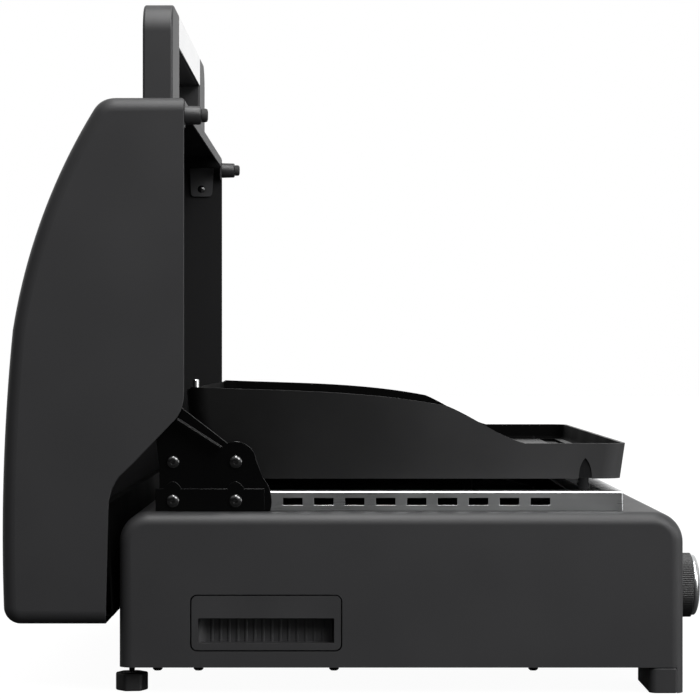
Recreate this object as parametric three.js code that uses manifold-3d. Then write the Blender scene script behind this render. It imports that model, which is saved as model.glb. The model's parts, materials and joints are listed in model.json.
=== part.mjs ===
// Tabletop gas griddle with a rear-hinged hood, drawn with the hood standing open.
// Millimetres. +X is the width, -Y is the front with the knobs, +Z is up, and the floor is Z = 0.
import * as THREE from "three";
import { mergeVertices } from "three/addons/utils/BufferGeometryUtils.js";
import Module from "manifold-3d";

// ---------------------------------------------------------------- driving dimensions
const HALF_WIDTH = 330;
const SHEET = 1.5; // wall of the pressed steel shells
const GAP = 0.3; // air left between touching pieces
const FAR = 900; // half size of the cutting tools

const BASE = { rear: 199.2, front: -261.5, top: 147.5, bottom: 21, corner: 24.5, fillet: 10.6 };
const FRONT_PANEL = { depth: 5.7, top: 131.5 };
const FOOT = { innerX: 245, rear: -233, corner: 6.5 };
const DECK_OPENING = { x: 298, front: -198, rear: 138 };
const SIDE_SEAM = HALF_WIDTH - BASE.fillet - 0.2; // where the side pressings meet the middle ones

const PIVOT = { y: 104.4, z: 156.1 }; // hood hinge axis, along X
const HINGE_BOLTS = { rearY: 155.8, upperZ: 187.9, shank: 2.8, hole: 3.1, head: 5.45 };
const MOUNT_PLATE = { inner: 317, outer: 319, front: 80.8, rear: 170, top: 166.2 };
const ARM = { inner: 314.7, outer: 316.7, endRadius: 29.5, bumpRadius: 17, flange: 11.4 };
const ARM_SLOT = { inner: 314.4, outer: 317, front: 55, rear: 134 };

const HOOD = { edge: 145.9, top: 486.1, bottom: 55.8, seam: HALF_WIDTH - 12.5, rim: 11.5 };
const LIP = { low: 474.8, ear: 462, earX: 313 };
const BUMPER = { x: 321.8, z: 471.5, radius: 7.8, length: 13.4, tipRadius: 5.6, tipLength: 5 };
const HANDLE = { front: 160.2, rear: 185.8, top: 574, innerX: 163, outerX: 252, corner: 25, barLow: 545.3 };

const GRIDDLE = {
  halfWidth: 311, front: -217.5, rear: 146, top: 249.5, low: 202.9, bottom: 173.8, plan: 18,
  draft: 0.085, frontDraft: 0.14, wall: 3, floorTop: 188, floorBottom: 184, troughDepth: 2.5,
};
const GRIDDLE_FOOT = { x: 301.5, frontY: -181.9, rearY: 118, radius: 4.3 };
const GUARD = { x: 313.8, front: -213.7, rear: 152, top: 164, sheet: 1.2, flange: 16 };
const GUARD_SLOT = { length: 16, height: 6, pitch: 25.4, firstY: 57.7, z: 155.4, count: 9 };

const GRIP = { front: 17.3, rear: 140.7, low: 34.4, high: 80.2, corner: 5 };
const GRIP_POCKET = { front: 23.6, rear: 134.7, low: 40.7, high: 61.2, depth: 16, ribs: 14 };
const KNOB = { x: 165, z: 74.3, radius: 28, back: -265.5, front: -287.5, ribs: 28, capRadius: 26.3,
  capRise: 7.7, bore: 14 };
const VALVE = { front: -245, rear: -214, radius: 10, stem: 4, stemRear: -249 };
const BUTTON = { radius: 10, z: 84, length: 6.5, stem: 7, shoulder: -253, rear: -245 };
const MODULE = { half: 16, front: -239, rear: -230 };
const TRAY = { halfWidth: 90, low: 27, high: 58, length: 130 };
const PAN = { inset: 3, front: -250, rear: 194, lift: 0.5, sheet: 1 };
const VENT = { halfLength: 30, front: -60, rear: -48 };
const REAR_FOOT = { x: 305, y: 190.3, radius: 13.3, height: 14.9, stem: 2.6, stemTop: 40 };
const BURNER = { x: 165, z: 142, radius: 12.5, wall: 1.2, rearY: 120, frontY: -150 };
const MANIFOLD = { y: -222, radius: 7, halfLength: 250 };
const INLET = { x: 240, z: 40, end: 221, hole: 9 };
const HEAT_SHIELD = { halfWidth: 290, front: -140, rear: 134, low: 104, sheet: 1.2 };

// ---------------------------------------------------------------- solids from three.js geometry
const wasm = await Module();
wasm.setup();

function solidOf(geometry) {
  const bare = geometry.index ? geometry.toNonIndexed() : geometry.clone();
  bare.deleteAttribute("normal");
  bare.deleteAttribute("uv");
  const merged = mergeVertices(bare, 1e-4);
  return new wasm.Manifold(new wasm.Mesh({
    numProp: 3,
    vertProperties: new Float32Array(merged.attributes.position.array),
    triVerts: new Uint32Array(merged.index.array),
  }));
}

function geometryOf(solid) {
  const mesh = solid.getMesh();
  const geometry = new THREE.BufferGeometry();
  geometry.setAttribute("position", new THREE.BufferAttribute(mesh.vertProperties, 3));
  geometry.setIndex(new THREE.BufferAttribute(mesh.triVerts, 1));
  return geometry;
}

const cut = (solid, ...tools) => tools.reduce((body, tool) => body.subtract(tool), solid);
const join = (...solids) => solids.reduce((body, next) => body.add(next));

function box(x0, x1, y0, y1, z0, z1) {
  const geometry = new THREE.BoxGeometry(x1 - x0, y1 - y0, z1 - z0);
  return solidOf(geometry.translate((x0 + x1) / 2, (y0 + y1) / 2, (z0 + z1) / 2));
}

// An outline in the (Y, Z) plane, pushed from x0 to x1; options are ExtrudeGeometry's.
function alongX(shape, x0, x1, options = {}) {
  const geometry = new THREE.ExtrudeGeometry(shape, { depth: x1 - x0, bevelEnabled: false, ...options });
  const turn = new THREE.Matrix4().set(0, 0, 1, x0, 1, 0, 0, 0, 0, 1, 0, 0, 0, 0, 0, 1);
  return solidOf(geometry.applyMatrix4(turn));
}

// An outline in the (X, Z) plane, pushed from y0 to y1.
function alongY(shape, y0, y1, options = {}) {
  const geometry = new THREE.ExtrudeGeometry(shape, { depth: y1 - y0, bevelEnabled: false, ...options });
  return solidOf(geometry.rotateX(Math.PI / 2).translate(0, y1, 0));
}

// Every corner of a box-like shell rounded where its outline meets its ends.
function roundedAlongX(shape, halfWidth, round, inset, steps) {
  const options = {
    bevelEnabled: true, bevelThickness: round - inset, bevelSize: round - inset,
    bevelOffset: -round, bevelSegments: steps, curveSegments: 6,
  };
  return alongX(shape, -halfWidth + round, halfWidth - round, options);
}

// A profile of [radius, height] points turned round an axis.
function turned(profile, axis, x, y, z, sides = 20) {
  const geometry = new THREE.LatheGeometry(profile.map(([r, h]) => new THREE.Vector2(r, h)), sides);
  if (axis === "x") geometry.rotateZ(-Math.PI / 2);
  if (axis === "z") geometry.rotateX(Math.PI / 2);
  return solidOf(geometry.translate(x, y, z));
}

const rod = (axis, radius, from, to, x, y, z, sides) =>
  turned([[0, from], [radius, from], [radius, to], [0, to]], axis, x, y, z, sides);

function roundedRect(a0, a1, b0, b1, r) {
  const shape = new THREE.Shape();
  shape.moveTo(a0 + r, b0);
  shape.lineTo(a1 - r, b0);
  shape.absarc(a1 - r, b0 + r, r, -Math.PI / 2, 0);
  shape.lineTo(a1, b1 - r);
  shape.absarc(a1 - r, b1 - r, r, 0, Math.PI / 2);
  shape.lineTo(a0 + r, b1);
  shape.absarc(a0 + r, b1 - r, r, Math.PI / 2, Math.PI);
  shape.lineTo(a0, b0 + r);
  shape.absarc(a0 + r, b0 + r, r, Math.PI, 1.5 * Math.PI);
  return shape;
}

function polygon(points) {
  const shape = new THREE.Shape();
  points.forEach(([a, b], i) => (i ? shape.lineTo(a, b) : shape.moveTo(a, b)));
  return shape;
}

const mirrored = (solid) => solid.mirror([1, 0, 0]);

// ---------------------------------------------------------------- the group
const part = new THREE.Group();

const finish = (color, roughness, metalness) =>
  new THREE.MeshStandardMaterial({ color, roughness, metalness, flatShading: true });
const PAINT = finish(0x383838, 0.55, 0.1);
const BLACK = finish(0x101010, 0.35, 0.2);
const STEEL = finish(0x9a9d9f, 0.35, 0.9);
const POLISHED = finish(0xd8dadb, 0.25, 1.0);
const ENAMEL = finish(0x1d1d1d, 0.5, 0.3);
const PLASTIC = finish(0x2a2a2a, 0.6, 0.0);
const RUBBER = finish(0x161616, 0.9, 0.0);
const BRASS = finish(0xb08d4a, 0.4, 0.9);

function add(name, solid, material) {
  const mesh = new THREE.Mesh(geometryOf(solid), material);
  mesh.name = name;
  part.add(mesh);
}

// The left piece is the one at -X; the right one is its mirror image.
function addPair(name, rightSolid, material) {
  add(name + "_left", mirrored(rightSolid), material);
  add(name + "_right", rightSolid, material);
}

// ---------------------------------------------------------------- base housing
function baseOutline() {
  const shape = new THREE.Shape();
  const low = -4 * BASE.fillet;
  shape.moveTo(BASE.front, low);
  shape.lineTo(BASE.rear, low);
  shape.lineTo(BASE.rear, BASE.top - BASE.corner);
  shape.absarc(BASE.rear - BASE.corner, BASE.top - BASE.corner, BASE.corner, 0, Math.PI / 2);
  shape.lineTo(BASE.front + BASE.corner, BASE.top);
  shape.absarc(BASE.front + BASE.corner, BASE.top - BASE.corner, BASE.corner, Math.PI / 2, Math.PI);
  return shape;
}

const baseForm = (inset) => roundedAlongX(baseOutline(), HALF_WIDTH, BASE.fillet, inset, 3);

function baseShell() {
  const below = box(-FAR, FAR, -FAR, FAR, -FAR, BASE.bottom);
  const panelSeat = BASE.front + FRONT_PANEL.depth + GAP;
  const panelPocket = box(-FAR, FAR, -FAR, panelSeat, -FAR, FRONT_PANEL.top + GAP);
  const opening = box(-DECK_OPENING.x, DECK_OPENING.x, DECK_OPENING.front, DECK_OPENING.rear, 100, 200);
  const slot = box(ARM_SLOT.inner, ARM_SLOT.outer, ARM_SLOT.front, ARM_SLOT.rear, 140, 200);
  return cut(baseForm(0), baseForm(SHEET), below, panelPocket, opening, slot, mirrored(slot));
}

function addBase() {
  const shell = baseShell();
  const middle = box(-SIDE_SEAM, SIDE_SEAM, -FAR, FAR, -FAR, FAR);
  const sideRoom = box(SIDE_SEAM + GAP, FAR, -FAR, FAR, -FAR, FAR);
  const gripHole = alongX(roundedRect(GRIP.front, GRIP.rear, GRIP.low, GRIP.high, GRIP.corner), 300, 340);
  addPair("side_panel", cut(shell.intersect(sideRoom), gripHole), PAINT);

  const rearSeam = BASE.top - BASE.corner;
  const rearRoom = box(-FAR, FAR, 0, FAR, -FAR, rearSeam);
  const rearTool = box(-FAR, FAR, 0, FAR, -FAR, rearSeam + GAP);
  const inletHole = rod("y", INLET.hole, 180, 210, INLET.x, 0, INLET.z);
  const middleShell = shell.intersect(middle);
  add("top_deck", cut(middleShell, rearTool), PAINT);
  add("rear_panel", cut(middleShell.intersect(rearRoom), inletHole), BLACK);

  const panHalf = SIDE_SEAM - PAN.inset;
  const panLow = BASE.bottom + PAN.lift;
  const pan = box(-panHalf, panHalf, PAN.front, PAN.rear, panLow, panLow + PAN.sheet);
  const vents = [-200, -100, 100, 200].map((x) =>
    box(x - VENT.halfLength, x + VENT.halfLength, VENT.front, VENT.rear, 0, 40));
  const footHole = rod("z", REAR_FOOT.stem + 1, 10, 30, REAR_FOOT.x, REAR_FOOT.y, 0, 12);
  add("bottom_pan", cut(pan, ...vents, footHole, mirrored(footHole)), BLACK);
}

// The front skin and its rounded ends, carried down over the front feet.
function addFrontPanel() {
  const room = box(-FAR, FAR, -FAR, BASE.front + FRONT_PANEL.depth, 0, FRONT_PANEL.top);
  const arch = box(-FOOT.innerX, FOOT.innerX, -FAR, FAR, -FAR, BASE.bottom);
  const skin = cut(baseForm(0), baseForm(SHEET)).intersect(room);
  const stemHole = rod("y", 6, -300, -200, KNOB.x, 0, KNOB.z);
  const buttonHole = rod("y", BUTTON.radius + 0.4, -300, -200, 0, 0, BUTTON.z);
  const trayHole = box(-TRAY.halfWidth - 1, TRAY.halfWidth + 1, -300, -200, TRAY.low - 1, TRAY.high + 1);
  add("front_panel", cut(skin, arch, stemHole, mirrored(stemHole), buttonHole, trayHole), PAINT);
}

function addFeet() {
  const shape = new THREE.Shape();
  const outer = HALF_WIDTH - 0.4;
  shape.moveTo(FOOT.innerX, BASE.front);
  shape.lineTo(outer, BASE.front);
  shape.lineTo(outer, FOOT.rear - FOOT.corner);
  shape.absarc(outer - FOOT.corner, FOOT.rear - FOOT.corner, FOOT.corner, 0, Math.PI / 2);
  shape.lineTo(FOOT.innerX, FOOT.rear);
  const block = solidOf(new THREE.ExtrudeGeometry(shape, { depth: BASE.bottom - GAP, bevelEnabled: false }));
  const behindPanel = box(-FAR, FAR, BASE.front + FRONT_PANEL.depth + GAP, FAR, -FAR, FAR);
  const insidePanel = baseForm(SHEET + GAP);
  addPair("front_foot", join(block.intersect(behindPanel), block.intersect(insidePanel)), PAINT);

  const { x, y, radius, height, stem, stemTop } = REAR_FOOT;
  const round = 1.5;
  const knob = [[0, 0], [radius - round, 0], [radius, round], [radius, height - round],
    [radius - round, height], [0, height]];
  addPair("rear_foot_knob", turned(knob, "z", x, y, 0, 12), PLASTIC);
  const stemRoom = rod("z", stem, height + GAP, stemTop, x, y, 0, 12);
  addPair("rear_foot_stem", stemRoom, STEEL);
}

function addGrips() {
  const face = HALF_WIDTH - SHEET;
  const plate = alongX(roundedRect(GRIP.front + GAP, GRIP.rear - GAP, GRIP.low + GAP, GRIP.high - GAP,
    GRIP.corner - GAP), face, HALF_WIDTH - 0.1);
  const { front, rear, low, high, depth, ribs } = GRIP_POCKET;
  const cup = box(face - depth, face + 0.5, front - 2, rear + 2, low - 2, high + 2);
  const pocket = box(face - depth + 2, HALF_WIDTH + 5, front, rear, low, high);
  const pitch = (rear - front) / (ribs + 1);
  const ribLow = face - depth + 1;
  const ribsSolid = Array.from({ length: ribs }, (_, i) => {
    const y = front + (i + 1) * pitch;
    return box(ribLow, ribLow + 2.5, y - 1.2, y + 1.2, low - 1, high + 1);
  });
  addPair("grip_cup", join(cut(join(plate, cup), pocket), ...ribsSolid), PLASTIC);
}

// ---------------------------------------------------------------- hinge
function armOutline() {
  const shape = new THREE.Shape();
  const foot = Math.PI + 0.28;
  const bump = { y: PIVOT.y, z: HINGE_BOLTS.upperZ };
  shape.absarc(PIVOT.y, PIVOT.z, ARM.endRadius, foot, 2.43, true);
  shape.absarc(bump.y, bump.z, ARM.bumpRadius, 3.05, 1.18, true);
  shape.lineTo(144.3, 229.4);
  shape.lineTo(160, 240.8);
  shape.lineTo(173.6, 236);
  shape.lineTo(167, 186);
  shape.lineTo(167, 159.4);
  shape.lineTo(126, 159.4);
  shape.lineTo(120, 148.2);
  return shape;
}

function mountPlateOutline() {
  const { front, rear, top } = MOUNT_PLATE;
  const low = BASE.top + GAP;
  const shape = polygon([[front, low], [rear, low], [rear, top]]);
  for (const y of [HINGE_BOLTS.rearY, PIVOT.y]) {
    shape.lineTo(y + 7, top);
    shape.quadraticCurveTo(y + 4.5, top + 5.5, y, top + 6);
    shape.quadraticCurveTo(y - 4.5, top + 5.5, y - 7, top);
  }
  shape.lineTo(front, top);
  return shape;
}

function bolt(y, z, seat, end) {
  const { shank, head } = HINGE_BOLTS;
  const profile = [[0, end], [shank, end], [shank, seat], [head, seat], [head, seat + 1.2],
    [head - 2.2, seat + 2.7], [0, seat + 2.7]];
  return turned(profile, "x", 0, y, z, 12);
}

function addHinges() {
  const { rearY, upperZ, hole } = HINGE_BOLTS;
  const holeAt = (y, z) => rod("x", hole, 300, 330, 0, y, z, 12);
  const mount = alongX(mountPlateOutline(), MOUNT_PLATE.inner, MOUNT_PLATE.outer);
  addPair("hinge_mount", cut(mount, holeAt(PIVOT.y, PIVOT.z), holeAt(rearY, PIVOT.z)), BLACK);

  const plate = alongX(armOutline(), ARM.inner, ARM.outer, { curveSegments: 10 });
  const flange = alongX(polygon([[115.8, 200.5], [117, 198.7], [153.2, 221.9], [152, 223.7]]),
    ARM.outer - 0.5, ARM.outer + ARM.flange);
  const holes = [holeAt(PIVOT.y, PIVOT.z), holeAt(PIVOT.y, upperZ), holeAt(rearY, upperZ)];
  const arm = cut(join(plate, flange), ...holes);
  addPair("hinge_arm", arm, BLACK);

  const mountSeat = MOUNT_PLATE.outer + GAP;
  const armSeat = ARM.outer + GAP;
  const end = ARM.inner - 0.2;
  addPair("pivot_bolt", bolt(PIVOT.y, PIVOT.z, mountSeat, end), BLACK);
  addPair("stop_bolt", bolt(rearY, PIVOT.z, mountSeat, end), BLACK);
  addPair("arm_bolt_front", bolt(PIVOT.y, upperZ, armSeat, end), BLACK);
  addPair("arm_bolt_rear", bolt(rearY, upperZ, armSeat, end), BLACK);
}

// ---------------------------------------------------------------- hood
// The hood's closed faces; its open side runs on past the edge so that a cut can square it.
function hoodBulk() {
  const past = HOOD.edge - 70;
  const shape = new THREE.Shape();
  shape.moveTo(past, HOOD.bottom);
  shape.lineTo(279.4, HOOD.bottom);
  shape.quadraticCurveTo(292.6, HOOD.bottom, 294.1, 70.6);
  shape.bezierCurveTo(296.9, 145.8, 294.3, 221.2, 286.8, 296.1);
  shape.bezierCurveTo(276.8, 359.2, 254.5, 420.8, 221.1, 475.3);
  shape.quadraticCurveTo(215, HOOD.top, 202.2, HOOD.top);
  shape.lineTo(past, HOOD.top);
  return shape;
}

// The side view of the hood's edge, from the lip down round the base to the bottom.
function hoodSideView() {
  const shape = new THREE.Shape();
  shape.moveTo(330, 30);
  shape.lineTo(330, 520);
  shape.lineTo(HOOD.edge + 2, 520);
  shape.lineTo(HOOD.edge + 2, HOOD.top);
  shape.quadraticCurveTo(HOOD.edge, HOOD.top, HOOD.edge, HOOD.top - 2.5);
  shape.lineTo(HOOD.edge, 245.7);
  shape.quadraticCurveTo(HOOD.edge, 229, 155.7, 220.4);
  shape.lineTo(187.8, 187);
  shape.lineTo(198, 177.3);
  shape.quadraticCurveTo(207.3, 166, 207.5, 150);
  shape.lineTo(209.6, 62.4);
  shape.lineTo(212.7, 30);
  return shape;
}

function hoodShell() {
  const outer = roundedAlongX(hoodBulk(), HALF_WIDTH, HOOD.rim, 0, 3);
  const inner = roundedAlongX(hoodBulk(), HALF_WIDTH, HOOD.rim, SHEET, 3);
  const room = alongX(hoodSideView(), -FAR, FAR, { curveSegments: 6 });
  return cut(outer, inner).intersect(room);
}

function baffleOutline() {
  return polygon([
    [208.4, 154], [204.2, 62.4], [216, 62.4], [216, 63.6],
    [205.5, 63.6], [209.6, 152.8], [216, 152.8], [216, 154],
  ]);
}

function addHood() {
  const shell = hoodShell();
  const middle = box(-HOOD.seam, HOOD.seam, -FAR, FAR, -FAR, FAR);
  const sideRoom = box(HOOD.seam + GAP, FAR, -FAR, FAR, -FAR, FAR);
  add("hood_shell", shell.intersect(middle), PAINT);
  const inside = HALF_WIDTH - SHEET - GAP;
  const tab = alongX(roundedRect(157, 180, 444.7, 471, 4), inside - SHEET, HALF_WIDTH - 0.5);
  const tabHole = rod("x", 4, 300, inside + 0.1, 0, 168, 452, 16);
  addPair("hood_side", cut(join(shell.intersect(sideRoom), tab), tabHole), PAINT);

  const { low, ear, earX } = LIP;
  const lipTop = HOOD.top - SHEET - GAP;
  const strip = box(-inside + 9, inside - 9, HOOD.edge + 0.1, HOOD.edge + 1.6, low, lipTop);
  const earPlate = box(earX, inside - 0.2, HOOD.edge + 0.1, HOOD.edge + 1.6, ear, lipTop - 9);
  add("hood_lip", join(strip, earPlate, mirrored(earPlate)), STEEL);
  add("hood_baffle", alongX(baffleOutline(), -inside + 2.2, inside - 2.2), BLACK);

  const { x, z, radius, length, tipRadius, tipLength } = BUMPER;
  const bodyEnd = HOOD.edge - GAP;
  addPair("bumper", rod("y", radius, bodyEnd - length, bodyEnd, x, 0, z, 20), PLASTIC);
  const tipEnd = bodyEnd - length - GAP;
  addPair("bumper_tip", rod("y", tipRadius, tipEnd - tipLength, tipEnd, x, 0, z, 20), RUBBER);
}

function addHandle() {
  const { front, rear, top, innerX, outerX, corner, barLow } = HANDLE;
  const shape = new THREE.Shape();
  shape.moveTo(innerX, HOOD.top - 20);
  shape.lineTo(outerX, HOOD.top - 20);
  shape.lineTo(outerX, top - corner);
  shape.absarc(outerX - corner, top - corner, corner, 0, Math.PI / 2);
  shape.lineTo(innerX, top);
  const round = 3.2;
  const post = alongY(shape, front + round, rear - round, {
    bevelEnabled: true, bevelThickness: round, bevelSize: round, bevelOffset: -round, bevelSegments: 3,
  });
  const seat = box(-FAR, FAR, -FAR, FAR, -FAR, HOOD.top + GAP);
  addPair("handle_bracket", cut(post, seat), PAINT);

  const end = innerX - GAP;
  const face = front + 1.2;
  add("handle_bar", alongX(roundedRect(face + GAP, rear - 0.5, barLow, top - 0.5, 3), -end, end), PAINT);
  add("handle_trim", box(-end, end, front, face, barLow, top - 1), POLISHED);
}

// ---------------------------------------------------------------- griddle and wind guard
// A rounded rectangle whose sides lean in towards the bottom, as a stack of rings.
function draftedBlock(inset, z0, z1) {
  const cornerSteps = 5;
  const ring = (z) => {
    const lean = inset + (GRIDDLE.top - z) * GRIDDLE.draft;
    const x = GRIDDLE.halfWidth - lean;
    const r = Math.max(GRIDDLE.plan - inset, 4);
    const front = GRIDDLE.front + inset + (GRIDDLE.low - z) * GRIDDLE.frontDraft;
    const shape = roundedRect(-x, x, front, GRIDDLE.rear - lean, r);
    return shape.getPoints(cornerSteps).slice(0, -1).map((p) => new THREE.Vector3(p.x, p.y, z));
  };
  const low = ring(z0);
  const high = ring(z1);
  const count = low.length;
  const points = [...low, ...high, new THREE.Vector3(0, 0, z0), new THREE.Vector3(0, 0, z1)];
  const faces = [];
  for (let i = 0; i < count; i++) {
    const next = (i + 1) % count;
    faces.push(i, next, count + next, i, count + next, count + i);
    faces.push(next, i, 2 * count, count + i, count + next, 2 * count + 1);
  }
  const geometry = new THREE.BufferGeometry().setFromPoints(points);
  geometry.setIndex(faces);
  return solidOf(geometry);
}

// Everything above the rim: high at the back, an S-shaped drop, then a low front.
function rimTool() {
  const shape = new THREE.Shape();
  shape.moveTo(200, 300);
  shape.lineTo(200, 240);
  shape.quadraticCurveTo(147, 243, 141, 249.3);
  shape.bezierCurveTo(74.8, 246.2, 1.5, 247.5, -69.7, 233.6);
  shape.bezierCurveTo(-91.6, 224.6, -110.4, 209.1, -133.3, GRIDDLE.low);
  shape.lineTo(-300, GRIDDLE.low);
  shape.lineTo(-300, 300);
  return alongX(shape, -FAR, FAR, { curveSegments: 10 });
}

function addGriddle() {
  const { top, bottom, wall, floorTop, floorBottom, troughDepth } = GRIDDLE;
  const outer = draftedBlock(0, bottom, top + 4);
  const well = draftedBlock(wall, floorTop, top + 8);
  const under = draftedBlock(wall, bottom - 5, floorBottom);
  const trough = box(-296, 296, -204, -188, floorTop - troughDepth, floorTop + 1);
  const drain = rod("z", 8, 150, 200, 0, -196, 0);
  const { x, frontY, rearY, radius } = GRIDDLE_FOOT;
  const feet = [x, -x].flatMap((footX) => [frontY, rearY].map((footY) =>
    rod("z", radius, GUARD.top + GAP, floorBottom + 1, footX, footY, 0, 12)));
  const pan = cut(outer, well, under, rimTool(), trough, drain);
  add("griddle_plate", join(pan, ...feet), ENAMEL);
}

function addWindGuard() {
  const { x, front, rear, top, sheet, flange } = GUARD;
  const low = BASE.top + GAP;
  const inside = (wall) => box(-x + wall, x - wall, front + wall, rear - wall, 0, FAR);
  const ring = cut(box(-x, x, front, rear, low, top), inside(sheet));
  const lid = cut(box(-x, x, front, rear, top - sheet, top), inside(flange));
  const { length, height, pitch, firstY, z, count } = GUARD_SLOT;
  const slots = Array.from({ length: count }, (_, i) => {
    const y = firstY - i * pitch;
    return box(-FAR, FAR, y - length / 2, y + length / 2, z - height / 2, z + height / 2);
  });
  add("wind_guard", cut(join(ring, lid), ...slots), STEEL);
}

// ---------------------------------------------------------------- controls and gas train
function knobOutline() {
  const shape = new THREE.Shape();
  const { radius, ribs } = KNOB;
  const points = Array.from({ length: ribs * 2 }, (_, i) => {
    const angle = (i * Math.PI) / ribs;
    const r = i % 2 ? radius - 1 : radius;
    return new THREE.Vector2(KNOB.x + r * Math.cos(angle), KNOB.z + r * Math.sin(angle));
  });
  return shape.setFromPoints(points);
}

function addControls() {
  const { x, z, back, front, capRadius, capRise, bore } = KNOB;
  const stemRoom = rod("y", VALVE.stem + GAP, back - bore, back + 5, x, 0, z, 16);
  addPair("knob", cut(alongY(knobOutline(), front, back), stemRoom), PLASTIC);
  const tip = front - capRise;
  const cap = [[0, tip], [9, tip + 0.5], [18, tip + 1.9], [23.5, tip + 4], [capRadius, front - 2],
    [capRadius, front - GAP], [0, front - GAP]];
  addPair("knob_cap", turned(cap, "y", x, 0, z, 24), STEEL);
  addPair("valve_stem", rod("y", VALVE.stem, back - bore + GAP, VALVE.stemRear, x, 0, z, 16), BRASS);

  const valve = rod("y", VALVE.radius, VALVE.front, VALVE.rear, x, 0, z, 16);
  const { y: pipeY, radius: pipeRadius, halfLength } = MANIFOLD;
  const gasRoom = rod("x", pipeRadius + GAP, -FAR, FAR, 0, pipeY, z, 16);
  addPair("gas_valve", cut(valve, gasRoom), BRASS);
  add("gas_manifold", rod("x", pipeRadius, -halfLength, halfLength, 0, pipeY, z, 16), STEEL);

  const face = BASE.front - BUTTON.length;
  const button = [[0, face], [BUTTON.radius - 1, face], [BUTTON.radius, face + 1],
    [BUTTON.radius, BUTTON.shoulder], [BUTTON.stem, BUTTON.shoulder], [BUTTON.stem, BUTTON.rear],
    [0, BUTTON.rear]];
  add("igniter_button", turned(button, "y", 0, 0, BUTTON.z, 24), PLASTIC);
  const { half, front: moduleFront, rear: moduleRear } = MODULE;
  const igniter = box(-half, half, moduleFront, moduleRear, BUTTON.z - half, BUTTON.z + half);
  add("igniter_module", igniter, PLASTIC);
}

function addBurners() {
  const { x, z, radius, wall, rearY, frontY } = BURNER;
  const path = new THREE.CurvePath();
  const at = (y, h) => new THREE.Vector3(x, y, h);
  path.add(new THREE.LineCurve3(at(rearY, z), at(frontY, z)));
  const dip = frontY - 32;
  const mouth = VALVE.rear + 6;
  path.add(new THREE.CubicBezierCurve3(at(frontY, z), at(dip, z), at(dip, KNOB.z), at(mouth, KNOB.z)));
  const section = new THREE.Shape().absarc(0, 0, radius, 0, 2 * Math.PI);
  section.holes.push(new THREE.Path().absarc(0, 0, radius - wall, 0, 2 * Math.PI));
  const tube = new THREE.ExtrudeGeometry(section, { steps: 14, curveSegments: 5, extrudePath: path });
  addPair("burner", solidOf(tube), STEEL);

  const { halfWidth, front, rear, low, sheet } = HEAT_SHIELD;
  add("heat_shield", box(-halfWidth, halfWidth, front, rear, low, low + sheet), STEEL);
  const electrode = [[0, 106], [5, 106], [5, 122], [3.4, 124], [3.4, 142], [1.2, 144], [1.2, 156], [0, 156]];
  addPair("igniter_electrode", turned(electrode, "z", x - 24, -110, 0, 12), POLISHED);

  const inlet = [[0, 190], [6, 190], [6, 196], [8.4, 196], [8.4, 203], [11, 203], [11, 211], [7, 212],
    [7, INLET.end], [0, INLET.end]];
  add("gas_inlet", turned(inlet, "y", INLET.x, 0, INLET.z, 16), BRASS);
  const side = INLET.x + 30;
  const bends = [[INLET.x, 188, INLET.z], [INLET.x + 8, 150, 52], [side, 60, 60], [side, -150, 60],
    [side - 2, -208, 68], [MANIFOLD.halfLength + 4, MANIFOLD.y, KNOB.z]];
  const route = new THREE.CatmullRomCurve3(bends.map((p) => new THREE.Vector3(...p)));
  const small = new THREE.Shape().absarc(0, 0, 4, 0, 2 * Math.PI);
  const pipe = new THREE.ExtrudeGeometry(small, { steps: 20, curveSegments: 4, extrudePath: route });
  add("gas_pipe", solidOf(pipe), STEEL);
}

function addGreaseTray() {
  const { halfWidth, low, high, length } = TRAY;
  const { front } = BASE;
  const outer = halfWidth - 3;
  const inner = outer - SHEET;
  const face = box(-halfWidth, halfWidth, front + 0.4, front + 2, low, high);
  const body = box(-outer, outer, front + 1.8, front + length, low, high - 4);
  const room = box(-inner, inner, front + 4, front + length - SHEET, low + SHEET, high + 5);
  const pull = box(-40, 40, front - 14, front + 1, low + 12, low + 16);
  add("grease_tray", join(face, cut(body, room), pull), STEEL);
}

addBase();
addFrontPanel();
addFeet();
addGrips();
addHinges();
addHood();
addHandle();
addGriddle();
addWindGuard();
addControls();
addBurners();
addGreaseTray();

export default part;
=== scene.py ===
"""The looks of a tabletop gas griddle with its hood open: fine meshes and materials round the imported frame.

Outlines and sizes are in millimetres, as the object is drawn, and new_object() turns them into metres.
+X is the width, -Y is the front with the knobs, +Z is up.
"""
import json
import math

import bmesh
import bpy
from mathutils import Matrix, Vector


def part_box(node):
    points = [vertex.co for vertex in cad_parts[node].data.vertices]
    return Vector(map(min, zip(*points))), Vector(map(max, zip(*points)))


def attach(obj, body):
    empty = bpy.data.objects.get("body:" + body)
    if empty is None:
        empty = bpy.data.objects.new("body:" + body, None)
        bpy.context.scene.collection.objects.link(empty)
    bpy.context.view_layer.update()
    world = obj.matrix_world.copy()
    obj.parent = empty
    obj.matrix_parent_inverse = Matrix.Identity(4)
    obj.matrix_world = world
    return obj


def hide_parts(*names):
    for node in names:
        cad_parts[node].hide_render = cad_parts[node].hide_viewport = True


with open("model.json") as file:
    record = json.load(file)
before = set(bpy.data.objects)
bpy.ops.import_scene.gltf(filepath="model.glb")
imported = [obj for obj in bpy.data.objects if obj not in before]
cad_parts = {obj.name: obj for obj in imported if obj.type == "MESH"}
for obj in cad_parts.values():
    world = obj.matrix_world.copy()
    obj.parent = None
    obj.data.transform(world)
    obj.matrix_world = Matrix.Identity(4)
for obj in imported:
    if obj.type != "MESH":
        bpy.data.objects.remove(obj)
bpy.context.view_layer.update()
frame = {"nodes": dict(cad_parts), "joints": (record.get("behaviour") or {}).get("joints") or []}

MM = 0.001
FAR = 900  # half size of the cutting tools
SHEET = 1.5  # wall of the pressed steel shells
SIDES = (("left", -1), ("right", 1))
THROUGH_SIDE = (300, 340)  # from and to, in X, of the tools that cut through the right side
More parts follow.
